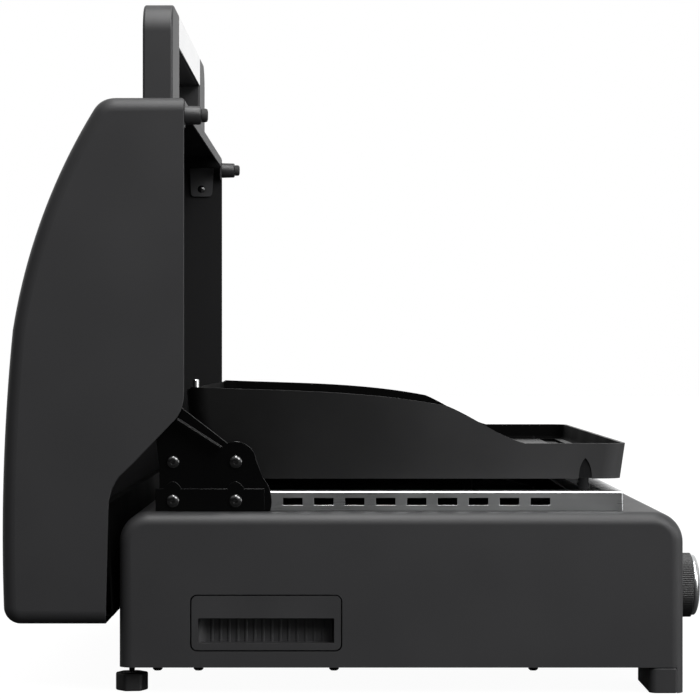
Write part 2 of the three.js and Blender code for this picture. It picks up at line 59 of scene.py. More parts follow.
# The materials that cut() puts on kept faces and on cut ones, when it marks them.
MARKS = [bpy.data.materials.new("kept_face"), bpy.data.materials.new("cut_face")]


def span(node):
    """A CAD node's lowest and highest corner, in millimetres."""
    low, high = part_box(node)
    return low / MM, high / MM


SIDE_LOW, SIDE_HIGH = span("side_panel_right")
PANEL_LOW, PANEL_HIGH = span("front_panel")
HOOD_LOW, HOOD_HIGH = span("hood_shell")
GUARD_LOW, GUARD_HIGH = span("wind_guard")
GRIDDLE_LOW = span("griddle_plate")[0]
HALF = SIDE_HIGH.x
PIVOT = Vector(next(j for j in frame["joints"] if j["name"] == "hood_hinge")["pos_m"]) / MM


# ---------------------------------------------------------------- outlines
def arc(a, b, radius, start, end, steps=10):
    """Points round a centre, from one angle to another, in degrees."""
    angles = [math.radians(start + (end - start) * i / steps) for i in range(steps + 1)]
    return [(a + radius * math.cos(t), b + radius * math.sin(t)) for t in angles]


def bezier(*points, steps=12):
    """A Bezier curve through its first and last point, of any order."""
    made = []
    for i in range(steps + 1):
        level = [Vector(p) for p in points]
        while len(level) > 1:
            level = [p.lerp(q, i / steps) for p, q in zip(level, level[1:])]
        made.append(tuple(level[0]))
    return made


def rounded(a0, a1, b0, b1, radius, steps=6):
    """A rectangle with round corners."""
    return (
        arc(a1 - radius, b0 + radius, radius, -90, 0, steps)
        + arc(a1 - radius, b1 - radius, radius, 0, 90, steps)
        + arc(a0 + radius, b1 - radius, radius, 90, 180, steps)
        + arc(a0 + radius, b0 + radius, radius, 180, 270, steps)
    )


def tidy(outline):
    """The outline without points that repeat the next one."""
    return [p for p, q in zip(outline, outline[1:] + outline[:1]) if math.dist(p, q) > 0.01]


# ---------------------------------------------------------------- meshes
def linked(name, bm):
    """An object in the scene, with the mesh as it stands."""
    mesh = bpy.data.meshes.new(name)
    bm.to_mesh(mesh)
    bm.free()
    obj = bpy.data.objects.new(name, mesh)
    bpy.context.scene.collection.objects.link(obj)
    return obj


def new_object(name, bm):
    """An object from a mesh drawn in millimetres."""
    bmesh.ops.recalc_face_normals(bm, faces=bm.faces)
    bmesh.ops.scale(bm, vec=(MM, MM, MM), verts=bm.verts)
    return linked(name, bm)


def point(axis, a, b, h):
    """A place at h along an axis and at (a, b) in the other two, in X, Y, Z order."""
    return {"x": (h, a, b), "y": (a, h, b), "z": (a, b, h)}[axis]


def loft(name, rings):
    """Rings of points, each with as many as the next, joined up and closed at both ends."""
    bm = bmesh.new()
    made = [[bm.verts.new(p) for p in ring] for ring in rings]
    bm.faces.new(made[0])
    bm.faces.new(made[-1])
    for low, high in zip(made, made[1:]):
        for i in range(len(low)):
            j = (i + 1) % len(low)
            bm.faces.new((low[i], low[j], high[j], high[i]))
    return new_object(name, bm)


def prism(name, outline, low, high, axis="x"):
    """An outline pushed along an axis. It lies in the other two, in X, Y, Z order."""
    return loft(name, [[point(axis, a, b, h) for a, b in tidy(outline)] for h in (low, high)])


def block(name, x0, x1, y0, y1, z0, z1):
    """A plain box."""
    return prism(name, [(y0, z0), (y1, z0), (y1, z1), (y0, z1)], x0, x1)


def lathe(name, profile, a, b, axis="y", sides=48):
    """A profile of (radius, height) points, from axis to axis, turned about the line through (a, b)."""
    bm = bmesh.new()
    turns = [2 * math.pi * i / sides for i in range(sides)]
    rings = []
    for radius, height in profile:
        around = turns if radius > 0 else turns[:1]
        rings.append([
            bm.verts.new(point(axis, a + radius * math.cos(t), b + radius * math.sin(t), height))
            for t in around
        ])
    for low, high in zip(rings, rings[1:]):
        for i in range(sides):
            j = (i + 1) % sides
            corners = [low[i % len(low)], low[j % len(low)], high[j % len(high)], high[i % len(high)]]
            face = list(dict.fromkeys(corners))
            if len(face) > 2:
                bm.faces.new(face)
    return new_object(name, bm)


def freeze(obj):
    """Applies the object's modifiers to its mesh."""
    evaluated = obj.evaluated_get(bpy.context.evaluated_depsgraph_get())
    mesh = bpy.data.meshes.new_from_object(evaluated)
    obj.modifiers.clear()
    obj.data = mesh
    return obj


def combine(name, pieces):
    """Several objects as one mesh, each left a closed body of its own."""
    bm = bmesh.new()
    for piece in pieces:
        freeze(piece)
        bm.from_mesh(piece.data)
        bpy.data.objects.remove(piece)
    return linked(name, bm)


def cut(obj, *tools, mode="DIFFERENCE", mark=False):
    """Cuts obj by each tool. With mark, the faces the tools leave carry material index 1."""
    if mark:
        for thing in (obj, *tools):
            thing.data.materials.clear()
            for material in MARKS:
                thing.data.materials.append(material)
        for tool in tools:
            for polygon in tool.data.polygons:
                polygon.material_index = 1
    for tool in tools:
        modifier = obj.modifiers.new("cut", "BOOLEAN")
        modifier.operation = mode
        modifier.solver = "EXACT"
        modifier.object = tool
        freeze(obj)
        bpy.data.objects.remove(tool)
    return obj


def join(obj, *others):
    """Makes one closed body of several."""
    return cut(obj, *others, mode="UNION")


def open_cuts(obj):
    """Takes away the faces that marked tools left, which opens the shell."""
    bm = bmesh.new()
    bm.from_mesh(obj.data)
    bmesh.ops.delete(bm, geom=[f for f in bm.faces if f.material_index == 1], context="FACES")
    bm.to_mesh(obj.data)
    bm.free()
    return obj


def between(obj, name, low, high):
    """A copy of obj's mesh, cut off at two heights in X."""
    bm = bmesh.new()
    bm.from_mesh(obj.data)
    for x, outward in ((low, -1), (high, 1)):
        bmesh.ops.bisect_plane(
            bm, geom=bm.verts[:] + bm.edges[:] + bm.faces[:], plane_co=(x * MM, 0, 0),
            plane_no=(outward, 0, 0), clear_outer=True,
        )
    return linked(name, bm)


def round_edges(obj, width, segments=3, angle=35, clamp=True):
    """A live bevel on the sharp edges, with smooth shading."""
    for polygon in obj.data.polygons:
        polygon.use_smooth = True
    bevel = obj.modifiers.new("edges", "BEVEL")
    bevel.width = width * MM
    bevel.segments = segments
    bevel.limit_method = "ANGLE"
    bevel.angle_limit = math.radians(angle)
    bevel.use_clamp_overlap = clamp
    bevel.harden_normals = True
    return obj


def thicken(obj, wall=SHEET):
    """Gives an open skin its wall, on the inside."""
    solid = obj.modifiers.new("wall", "SOLIDIFY")
    solid.thickness = wall * MM
    solid.offset = -1
    solid.use_even_offset = True
    return freeze(obj)


def flatten(obj):
    """A live modifier that keeps broad faces flat beside their rounded edges."""
    weigh = obj.modifiers.new("flat_faces", "WEIGHTED_NORMAL")
    weigh.keep_sharp = True
    return obj


def smooth(obj, angle=30):
    """Smooth shading, with edges past an angle kept sharp."""
    for polygon in obj.data.polygons:
        polygon.use_smooth = True
    obj.data.set_sharp_from_angle(angle=math.radians(angle))
    return obj


def mirror(obj, name):
    """A copy of obj on the other side of X = 0."""
    copy = obj.copy()
    copy.data = obj.data.copy()
    copy.name = name
    bpy.context.scene.collection.objects.link(copy)
    bm = bmesh.new()
    bm.from_mesh(copy.data)
    bmesh.ops.scale(bm, vec=(-1, 1, 1), verts=bm.verts)
    bmesh.ops.reverse_faces(bm, faces=bm.faces)
    bm.to_mesh(copy.data)
    bm.free()
    return copy


# ---------------------------------------------------------------- materials
def noise(tree, coordinates, scale, stretch=(1, 1, 1), detail=4.0):
    """A noise field in the frame's own coordinates, with its cells stretched along the axes."""
    mapping = tree.nodes.new("ShaderNodeMapping")
    mapping.inputs["Scale"].default_value = stretch
    field = tree.nodes.new("ShaderNodeTexNoise")
    field.inputs["Scale"].default_value = scale
    field.inputs["Detail"].default_value = detail
    tree.links.new(coordinates.outputs["Object"], mapping.inputs["Vector"])
    tree.links.new(mapping.outputs["Vector"], field.inputs["Vector"])
    return field


def ramp(tree, value, low, high, low_value, high_value, interpolation="SMOOTHSTEP"):
    """A value mapped from one span to another."""
    ranged = tree.nodes.new("ShaderNodeMapRange")
    ranged.interpolation_type = interpolation
    names = ("From Min", "From Max", "To Min", "To Max")
    for name, setting in zip(names, (low, high, low_value, high_value)):
        ranged.inputs[name].default_value = setting
    tree.links.new(value, ranged.inputs["Value"])
    return ranged.outputs["Result"]


def spread(tree, field, low, high):
    """Maps the middle of a noise field onto low to high."""
    return ramp(tree, field.outputs["Fac"], 0.3, 0.7, low, high, "LINEAR")


def combined(tree, operation, first, second):
    """Two values joined by one step of arithmetic."""
    made = tree.nodes.new("ShaderNodeMath")
    made.operation = operation
    tree.links.new(first, made.inputs[0])
    tree.links.new(second, made.inputs[1])
    return made.outputs["Value"]


def seasoned_inside_and_painted_light(material, centre, inner, reach):
    """Darkens the faces that look towards a centre, for a seasoned inside, and paints light along Y: the tone
    fades from one value to another, painted light at one end and painted shade at the other.
    """
    tree = material.node_tree
    tone = tree.nodes["Principled BSDF"].inputs["Base Color"].links[0].from_node
    coordinates = tree.nodes.new("ShaderNodeTexCoord")
    away = tree.nodes.new("ShaderNodeVectorMath")
    away.operation = "SUBTRACT"
    away.inputs[1].default_value = Vector(centre) * MM
    tree.links.new(coordinates.outputs["Object"], away.inputs[0])
    facing = tree.nodes.new("ShaderNodeVectorMath")
    facing.operation = "DOT_PRODUCT"
    tree.links.new(away.outputs["Vector"], facing.inputs[0])
    tree.links.new(coordinates.outputs["Normal"], facing.inputs[1])
    blend = 4 * MM
    side = ramp(tree, facing.outputs["Value"], -blend, blend, inner, 1.0)
    parts = tree.nodes.new("ShaderNodeSeparateXYZ")
    tree.links.new(coordinates.outputs["Object"], parts.inputs["Vector"])
    # Painted light and shade along Y: brighter towards one end, darker towards the other.
    start, end, start_tone, end_tone = reach
    painted_light_fade = ramp(tree, parts.outputs["Y"], start * MM, end * MM, start_tone, end_tone)
    factor = combined(tree, "MULTIPLY", side, painted_light_fade)
    slow = tone.inputs["Scale"].links[0].from_socket
    tree.links.new(combined(tree, "MULTIPLY", slow, factor), tone.inputs["Scale"])
    return material


def surface(name, colour, rough, metal=0.0, grain=1200, relief=0.02, stretch=(1, 1, 1),
            rough_spread=0.05, tint=0.12, cloud=14, specular=0.5, coat=0.0, coat_rough=0.15):
    """A material with fine relief, and slow changes of tone and gloss across the surface."""
    made = bpy.data.materials.new(name)
    made.use_nodes = True
    tree = made.node_tree
    shader = tree.nodes["Principled BSDF"]
    coordinates = tree.nodes.new("ShaderNodeTexCoord")
    slow = noise(tree, coordinates, cloud, detail=3.0)
    fine = noise(tree, coordinates, grain, stretch)

    shade = spread(tree, slow, 1 - tint, 1 + tint)
    tone = tree.nodes.new("ShaderNodeVectorMath")
    tone.operation = "SCALE"
    tone.inputs[0].default_value = colour
    tree.links.new(shade, tone.inputs["Scale"])
    tree.links.new(tone.outputs["Vector"], shader.inputs["Base Color"])

    broad = spread(tree, slow, rough - rough_spread, rough + rough_spread)
    close = spread(tree, fine, -rough_spread / 2, rough_spread / 2)
    tree.links.new(combined(tree, "ADD", broad, close), shader.inputs["Roughness"])

    bump = tree.nodes.new("ShaderNodeBump")
    bump.inputs["Strength"].default_value = 1.0
    bump.inputs["Distance"].default_value = relief * MM
    tree.links.new(fine.outputs["Fac"], bump.inputs["Height"])
    tree.links.new(bump.outputs["Normal"], shader.inputs["Normal"])

    shader.inputs["Metallic"].default_value = metal
    shader.inputs["Specular IOR Level"].default_value = specular
    shader.inputs["Coat Weight"].default_value = coat
    shader.inputs["Coat Roughness"].default_value = coat_rough
    return made


HOOD_CENTRE = (0, 120, 270)
GRIDDLE_CENTRE = (0, -30, 240)
COAT = {"grain": 900, "relief": 0.03, "rough_spread": 0.02, "tint": 0.03, "specular": 0.4}
PAINT = surface("charcoal_powder_coat", (0.0285, 0.0285, 0.03), 0.5, **COAT)
# A darker, less glossy copy of the charcoal paint for the hood's inside faces: painted shade.
HOOD_INSIDE_SHADE = surface("hood_inside_painted_shade", (0.017, 0.017, 0.0175), 0.6, grain=900, relief=0.03,
                      tint=0.04, specular=0.04)
POST = surface("charcoal_coated_alloy", (0.028, 0.028, 0.0295), 0.48, **COAT)
BLACK = surface("black_powder_coat", (0.009, 0.009, 0.0095), 0.6, grain=900, relief=0.03, specular=0.06)
# Near-black with almost no reflection: a black sheet, darkened further to paint the shade deep inside the
# hood.
MATT_BLACK_SHADE = surface("matt_black_sheet_and_painted_shade", (0.0015, 0.0015, 0.0015), 0.7, grain=900, relief=0.03, specular=0.02)
GLOSS = surface("gloss_black_enamel", (0.0012, 0.0012, 0.0013), 0.14, grain=500, relief=0.004, specular=0.25)
BOLT = surface("gloss_black_bolt", (0.004, 0.004, 0.0042), 0.18, grain=500, relief=0.004, specular=1.0)
STEEL = surface("brushed_stainless", (0.56, 0.57, 0.575), 0.3, metal=1.0, grain=260,
                stretch=(1, 0.04, 9), relief=0.008, tint=0.04)
POLISHED = surface("polished_stainless", (0.8, 0.805, 0.81), 0.16, metal=1.0, grain=200,
                   stretch=(0.04, 9, 9), relief=0.004, tint=0.03)
ZINC = surface("dull_steel", (0.3, 0.295, 0.28), 0.42, metal=1.0, grain=420, tint=0.2)
SCORCHED = surface("scorched_steel", (0.02, 0.019, 0.018), 0.6, metal=0.5, grain=420, tint=0.2)
BLUED = surface("blackened_steel", (0.05, 0.05, 0.052), 0.35, metal=1.0, grain=420, relief=0.01)
# The griddle's tone: its inward, seasoned faces are darker, and painted light runs along Y, twice as bright
# at the front and in painted shade, a fifth as bright, at the rear.
PLATE = seasoned_inside_and_painted_light(
    surface("griddle_steel", (0.022, 0.022, 0.0225), 0.4, grain=700, tint=0.06, specular=0.3),
    GRIDDLE_CENTRE, 0.08, reach=(-200, 130, 2.0, 0.2),
)
SEASONED = surface("seasoned_steel", (0.0015, 0.0015, 0.0015), 0.7, grain=700, specular=0.02)
PLASTIC = surface("moulded_black", (0.009, 0.009, 0.0095), 0.46, grain=1500, relief=0.03)
CUP = surface("moulded_charcoal", (0.028, 0.028, 0.0295), 0.5, grain=1500, tint=0.04, specular=0.4)
BUMPER = surface("satin_black_plastic", (0.02, 0.02, 0.021), 0.45, grain=300, relief=0.004, specular=0.4)
RUBBER = surface("black_rubber", (0.012, 0.012, 0.012), 0.75, grain=1300, relief=0.04)
BRASS = surface("machined_brass", (0.58, 0.42, 0.18), 0.3, metal=1.0, grain=500, relief=0.01, tint=0.15)
CERAMIC = surface("sooted_ceramic", (0.05, 0.048, 0.045), 0.2, grain=300, relief=0.004, tint=0.03, coat=0.6)


def place(obj, body, finish, *nodes):
    """Gives a finished piece its material and its body, and hides the CAD nodes it stands for."""
    obj.data.materials.clear()
    obj.data.materials.append(finish)
    for polygon in obj.data.polygons:
        polygon.material_index = 0
    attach(obj, body)
    if nodes:
        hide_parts(*nodes)
    return obj


def line_inside(obj, centre, finish, level_limit=1.0):
    """Gives the faces that look towards a centre, and aren't too level, a material of their own."""
    obj.data.materials.append(finish)
    middle = Vector(centre) * MM
    for polygon in obj.data.polygons:
        inward = polygon.normal.dot(middle - polygon.center) > 0
        if inward and abs(polygon.normal.z) <= level_limit:
            polygon.material_index = 1
    return obj


def place_pair(right, name, body, finish, nodes=()):
    """Places a piece made on the +X side, and its mirror image. A body or node name may end in its side."""
    for side, sign in SIDES:
        piece = mirror(right, f"{name}_left") if sign < 0 else right
        piece.name = f"{name}_{side}"
        place(piece, body.format(side), finish, *[n.format(side) for n in nodes])


# ---------------------------------------------------------------- base housing
CORNER = 24.5  # the base's front and rear top corners, seen from the side
FILLET = 10.6  # round edge between the base's top and its sides
PANEL_GAP = 0.05  # seam round the front panel


def base_bulk():
    """The housing as one solid with round edges, run on below the floor."""
    low = -4 * FILLET
    front, rear, top = PANEL_LOW.y, SIDE_HIGH.y, SIDE_HIGH.z
    outline = [(front, low), (rear, low)]
    outline += arc(rear - CORNER, top - CORNER, CORNER, 0, 90, 14)
    outline += arc(front + CORNER, top - CORNER, CORNER, 90, 180, 14)
    bulk = prism("base_skin", outline, -HALF, HALF)
    round_edges(bulk, FILLET, 8, 40, clamp=False)
    return freeze(bulk)


def mirrored_blocks(x0, x1, *rest):
    """Two cutting blocks, one on each side of X = 0."""
    return [block("tool", x0, x1, *rest), block("tool", -x1, -x0, *rest)]


def add_base():
    """The deck and the two pressed sides, cut from one rounded skin."""
    skin = base_bulk()
    opening, opening_front, opening_rear = 298, -198, 138
    deck_under, slot_under, deck_over = 100, 140, 200
    tools = [
        block("below", -FAR, FAR, -FAR, FAR, -FAR, SIDE_LOW.z),
        block("pocket", -FAR, FAR, -FAR, PANEL_HIGH.y + PANEL_GAP, -FAR, PANEL_HIGH.z + PANEL_GAP),
        block("opening", -opening, opening, opening_front, opening_rear, deck_under, deck_over),
    ]
    slot_low, slot_high, slot_front, slot_rear = 314.4, 317, 55, 134
    tools += mirrored_blocks(slot_low, slot_high, slot_front, slot_rear, slot_under, deck_over)
    cut(skin, *tools, mark=True)
    open_cuts(skin)
    seam_in, seam_out = span("top_deck")[1].x, SIDE_LOW.x
    deck = between(skin, "top_deck_skin", -seam_in, seam_in)
    side = between(skin, "side_panel_skin_right", seam_out, FAR)
    bpy.data.objects.remove(skin)

    rear_seam = span("top_deck")[0].z
    bm = bmesh.new()
    bm.from_mesh(deck.data)
    middles = [(f, f.calc_center_median()) for f in bm.faces]
    rear_start = 100
    low_rear = [f for f, middle in middles if middle.y > rear_start * MM and middle.z < rear_seam * MM]
    bmesh.ops.delete(bm, geom=low_rear, context="FACES")
    bm.to_mesh(deck.data)
    bm.free()
    thicken(deck)
    place(flatten(smooth(deck)), "root", PAINT, "top_deck")

    thicken(side)
    low, high = span("grip_cup_right")
    grow = 0.6
    outline = rounded(low.y - grow, high.y + grow, low.z - grow, high.z + grow, 5.5, 8)
    cut(side, prism("hole", outline, *THROUGH_SIDE))
    place_pair(flatten(smooth(side)), "side_panel_skin", "root", PAINT, ["side_panel_{}"])


def add_front_panel():
    """The front skin, carried down over the feet, with its knob holes and tray opening."""
    panel = base_bulk()
    inner = span("front_foot_right")[0].x
    room = block("room", -FAR, FAR, -FAR, PANEL_HIGH.y, 0, PANEL_HIGH.z)
    bend = 4
    arch = [(-inner, -FAR), (inner, -FAR)] + arc(inner - bend, SIDE_LOW.z - bend, bend, 0, 90, 5)
    arch += arc(-inner + bend, SIDE_LOW.z - bend, bend, 90, 180, 5)
    tray_low, tray_high = span("grease_tray")
    ahead, behind = -300, -200
    tools = [
        prism("arch", arch, -FAR, FAR, "y"),
        block("hole", tray_low.x - 1, tray_high.x + 1, ahead, behind, tray_low.z - 1, tray_high.z + 1),
    ]
    for node, radius in (("valve_stem_left", 6), ("valve_stem_right", 6), ("igniter_button", 10.5)):
        middle = sum(span(node), Vector()) / 2
        profile = [(0, ahead), (radius, ahead), (radius, behind), (0, behind)]
        tools.append(lathe("hole", profile, middle.x, middle.z, sides=40))
    cut(panel, room, mode="INTERSECT", mark=True)
    cut(panel, *tools, mark=True)
    open_cuts(panel)
    thicken(panel)
    place(flatten(smooth(panel)), "root", PAINT, "front_panel")

    low, high = span("front_foot_right")
    outline = [(low.x, PANEL_HIGH.y + PANEL_GAP), (high.x, PANEL_HIGH.y + PANEL_GAP)]
    bend = 6.5
    outline += arc(high.x - bend, high.y - bend, bend, 0, 90, 8)
    outline += [(low.x, high.y)]
    foot = prism("front_foot_block_right", outline, low.z, high.z, "z")
    place_pair(round_edges(foot, 1.4, 3), "front_foot_block", "root", PAINT, ["front_foot_{}"])


def add_rear_feet():
    """A rounded hexagonal foot knob on a threaded stem."""
    low, high = span("rear_foot_knob_right")
    middle = (low + high) / 2
    radius = (high.x - low.x) / 2
    corner = 3.6
    reach = radius - corner - 0.1
    turn = 21.8  # the hexagon's angle at rest
    outline = []
    for i in range(6):
        angle = 60 * i + turn
        a = middle.x + reach * math.cos(math.radians(angle))
        b = middle.y + reach * math.sin(math.radians(angle))
        outline += arc(a, b, corner, angle - 30, angle + 30, 6)
    knob = prism("foot_knob_right", outline, low.z, high.z, "z")
    node = "rear_foot_knob_{}"
    place_pair(round_edges(knob, 1.5, 4, 45), "foot_knob", node, PLASTIC, [node])

    low, high = span("rear_foot_stem_right")
    profile = [(0, low.z)]
    pitch, root, crest = 1.0, 2.1, 2.6
    turns = int((high.z - low.z) / pitch)
    for i in range(turns):
        profile += [(root, low.z + i * pitch), (crest, low.z + (i + 0.5) * pitch)]
    profile += [(root, high.z), (0, high.z)]
    stem = lathe("foot_stem_right", profile, middle.x, middle.y, "z", 24)
    place_pair(smooth(stem, 20), "foot_stem", "rear_foot_stem_{}", BLUED, ["rear_foot_stem_{}"])


def add_underside_screws():
    """The screw heads that hold the bottom pan's edge."""
    low = SIDE_LOW.z
    screw_x, screw_ys = 322, (167.9, 134.5, 23.8, -139)
    profile = [(0, low - 3), (2.6, low - 3), (4, low - 1.8), (4, low + 0.5), (0, low + 0.5)]
    heads = [lathe("head", profile, screw_x, y, "z", 24) for y in screw_ys]
    place_pair(smooth(combine("pan_screws_right", heads)), "pan_screws", "root", BLACK)


# ---------------------------------------------------------------- side grips
def add_grips():
    """A moulded cup: a plate flush with the side, a finger pocket and upright ribs at its back."""
    low, high = span("grip_cup_right")
    face = HALF - SHEET
    groove, wall = 0.5, 2
    outline = rounded(low.y + groove, high.y - groove, low.z + groove, high.z - groove, 4.7, 8)
    plate = prism("grip_right", outline, face - 1, high.x)
    front, rear, bottom, top = 23.6, 134.7, 40.7, 61.2
    cup = block("cup", low.x, face, front - wall, rear + wall, bottom - wall, top + wall)
    back, run = low.x + wall, 7
    pocket = prism("pocket", rounded(front, rear, bottom, top, 1.2, 4), back + run, HALF + 5)
    slope = [(back + run, front), (back + 1, front + 2), (back, front + run)]
    slope += [(back, rear - run), (back + run, rear)]
    deep = prism("deep", slope, bottom, top, "z")
    join(plate, cup)
    cut(plate, pocket, deep)
    round_edges(plate, 0.6, 3, 50)
    count, first, last = 14, 33, 124
    rib, sink = 2.2, 1.6
    ribs = [plate]
    for i in range(count):
        y = first + (last - first) * i / (count - 1)
        ribs.append(prism("rib", arc(back - sink, y, rib, -90, 90, 8), bottom - 0.5, top + 0.5, "z"))
    grip = combine("grip_right", ribs)
    place_pair(flatten(smooth(grip, 40)), "grip", "root", CUP, ["grip_cup_{}"])


# ---------------------------------------------------------------- hinges
HINGE_REAR = 155.8  # the rear bolts, in Y
HINGE_UPPER = 187.9  # the upper bolts, in Z


def arm_outline():
    """The moving plate: a round end at the pivot, a bump at the front bolt and a tongue up into the hood."""
    outline = arc(PIVOT.y, PIVOT.z, 29.5, 196, 139.2, 16)
    outline += arc(PIVOT.y, HINGE_UPPER, 17, 174.8, 67.6, 12)
    outline += [
        (144.3, 229.4), (160, 240.8), (173.6, 236), (167, 186), (167, 159.4), (126, 159.4), (120, 148.2),
    ]
    return outline


def mount_outline():
    """The fixed plate: a rectangle whose top edge rises over each bolt."""
    low, high = span("hinge_mount_right")
    top = high.z - 6
    outline = [(low.y, low.z), (high.y, low.z), (high.y, top)]
    for y in (HINGE_REAR, PIVOT.y):
        outline += bezier((y + 7, top), (y + 4.5, top + 5.5), (y, high.z), steps=5)
        outline += bezier((y, high.z), (y - 4.5, top + 5.5), (y - 7, top), steps=5)
    return outline + [(low.y, top)]


def round_hole(y, z, radius=3.1):
    """A tool for a round hole through a plate at the right side."""
    near, far = THROUGH_SIDE
    return lathe("hole", [(0, near), (radius, near), (radius, far), (0, far)], y, z, "x", 32)


def add_hinges():
    """The plate on the deck and the flanged arm on the hood."""
    low, high = span("hinge_mount_right")
    mount = prism("hinge_plate_right", mount_outline(), low.x, high.x)
    cut(mount, round_hole(PIVOT.y, PIVOT.z), round_hole(HINGE_REAR, PIVOT.z))
    place_pair(round_edges(mount, 0.8, 4), "hinge_plate", "root", GLOSS, ["hinge_mount_{}"])

    low, high = span("hinge_arm_right")
    thickness = 2
    arm = prism("arm_right", arm_outline(), low.x, low.x + thickness)
    bolts = ((PIVOT.y, PIVOT.z), (PIVOT.y, HINGE_UPPER), (HINGE_REAR, HINGE_UPPER))
    cut(arm, *[round_hole(y, z) for y, z in bolts])
    flange = [(115.8, 200.5), (117, 198.7), (153.2, 221.9), (152, 223.7)]
    join(arm, prism("flange", flange, low.x + 1.5, high.x))
    place_pair(round_edges(arm, 0.5, 3), "arm", "hood", GLOSS, ["hinge_arm_{}"])


def add_hinge_bolts():
    """Round-head bolts with a socket, through the plate and the arm."""
    for node, body, y, z in (
        ("pivot_bolt", "root", PIVOT.y, PIVOT.z),
        ("stop_bolt", "root", HINGE_REAR, PIVOT.z),
        ("arm_bolt_front", "hood", PIVOT.y, HINGE_UPPER),
        ("arm_bolt_rear", "hood", HINGE_REAR, HINGE_UPPER),
    ):
        low, high = span(node + "_right")
        end, tip = low.x, high.x
        seat = tip - 2.7
        rim = 5.45
        dome = [(rim * math.cos(t), seat + 0.6 + 2.1 * math.sin(t)) for t in (0, 0.3, 0.6, 0.9, 1.1)]
        profile = [(0, end), (2.8, end), (2.8, seat), (rim, seat)] + dome
        socket = [(1.9, tip - 0.15), (1.7, tip - 1.4), (0, tip - 1.6)]
        head = lathe(node + "_head_right", profile + socket, y, z, "x", 36)
        place_pair(smooth(head, 50), node + "_head", body, BOLT, [node + "_{}"])


# ---------------------------------------------------------------- hood
RIM = 11.5  # round edge between the hood's back and its sides


def hood_outline():
    """The hood's closed faces, run on past the opening so that a cut can square the edge."""
    past = HOOD_LOW.y - 70
    low, top = HOOD_LOW.z, HOOD_HIGH.z
    outline = [(past, low)]
    outline += arc(280.1, low + 14, 14, -90, 0, 12)
    outline += bezier((294.2, 72), (296.6, 146), (294.3, 221), (286.8, 296.1), steps=20)[1:]
    outline += bezier((286.8, 296.1), (276.8, 359.2), (254.5, 420.8), (221.1, 475.3), steps=20)[1:]
    outline += bezier((221.1, 475.3), (215, top), (202.2, top), steps=10)[1:]
    return outline + [(past, top)]


def hood_side_view():
    """What is kept of the hood: from the lip down round the base's rear to the bottom."""
    edge, top = HOOD_LOW.y - 0.1, HOOD_HIGH.z
    outline = [(FAR, 30), (FAR, 520), (edge + 2.5, 520), (edge + 2.5, top)]
    outline += arc(edge + 3, top - 3, 3, 100, 180, 6)
    outline += bezier((edge, 245.7), (edge, 229), (155.7, 220.4), steps=12)
    outline += [(187.8, 187)]
    outline += bezier((198, 177.3), (207.3, 166), (207.5, 150), steps=8)
    outline += [(209.6, 62.4), (212.7, 30)]
    return outline


def add_hood():
    """The shell and its two end pressings as one rounded skin, with painted shade on its inside."""
    hood = prism("hood_skin", hood_outline(), -HALF, HALF)
    round_edges(hood, RIM, 10, 40, clamp=False)
    freeze(hood)
    cut(hood, prism("room", hood_side_view(), -FAR, FAR), mode="INTERSECT", mark=True)
    open_cuts(hood)
    thicken(hood)
    flatten(round_edges(hood, 0.7, 3, 60))
    place(hood, "hood", PAINT, "hood_shell", "hood_side_left", "hood_side_right")
    # The faces that look inwards get the darker copy of the paint: painted shade.
    line_inside(hood, HOOD_CENTRE, HOOD_INSIDE_SHADE)


def add_bumper_tabs():
    """A tapered tab inside each end of the hood, under the bumper, with its screw."""
    face = HALF - 3 * SHEET
    screw_y, screw_z = 168, 452
    outline = [(180.4, 474), (154.6, 474)] + arc(160.4, 448, 4, 185, 270, 5) + arc(174.9, 448, 4, 270, 355, 5)
    tab = prism("bumper_tab_right", outline, face, HALF - 2 * SHEET)
    cut(tab, round_hole(screw_y, screw_z, 4))
    place_pair(round_edges(tab, 0.3, 2), "bumper_tab", "hood", PAINT)
    profile = [(0, face - 1.2), (2.2, face - 0.9), (3.8, face + 0.2), (3.8, face + SHEET), (0, face + SHEET)]
    screw = lathe("tab_screw_right", profile, screw_y, screw_z, "x", 24)
    place_pair(smooth(screw, 50), "tab_screw", "hood", BOLT)


def add_lip():
    """The painted strip along the top of the hood's opening, with an ear at each end."""
    low, high = span("hood_lip")
    strip_low, strip_end, ear_start = 474.8, 319.2, 313
    ear_top = high.z - 9
    outline = [(-high.x, low.z), (-ear_start, low.z), (-ear_start, strip_low), (ear_start, strip_low)]
    outline += [(ear_start, low.z), (high.x, low.z), (high.x, ear_top), (strip_end, ear_top)]
    outline += [(strip_end, high.z), (-strip_end, high.z), (-strip_end, ear_top), (-high.x, ear_top)]
    lip = prism("lip_strip", outline, low.y, high.y, "y")
    place(round_edges(lip, 0.3, 2), "hood", PAINT, "hood_lip")


def add_baffle():
    """The black sheet that closes the gap behind the base, with a folded hem along both edges. Its
    near-black, unreflecting finish also paints the shade deep inside the hood.
    """
    low, high = span("hood_baffle")
    outline = [
        (208.4, 154), (204.2, 62.4), (216, 62.4), (216, 63.6),
        (205.5, 63.6), (209.6, 152.8), (216, 152.8), (216, 154),
    ]
    baffle = prism("baffle", outline, low.x, high.x)
    place(round_edges(baffle, 0.35, 2, 60), "hood", MATT_BLACK_SHADE, "hood_baffle")


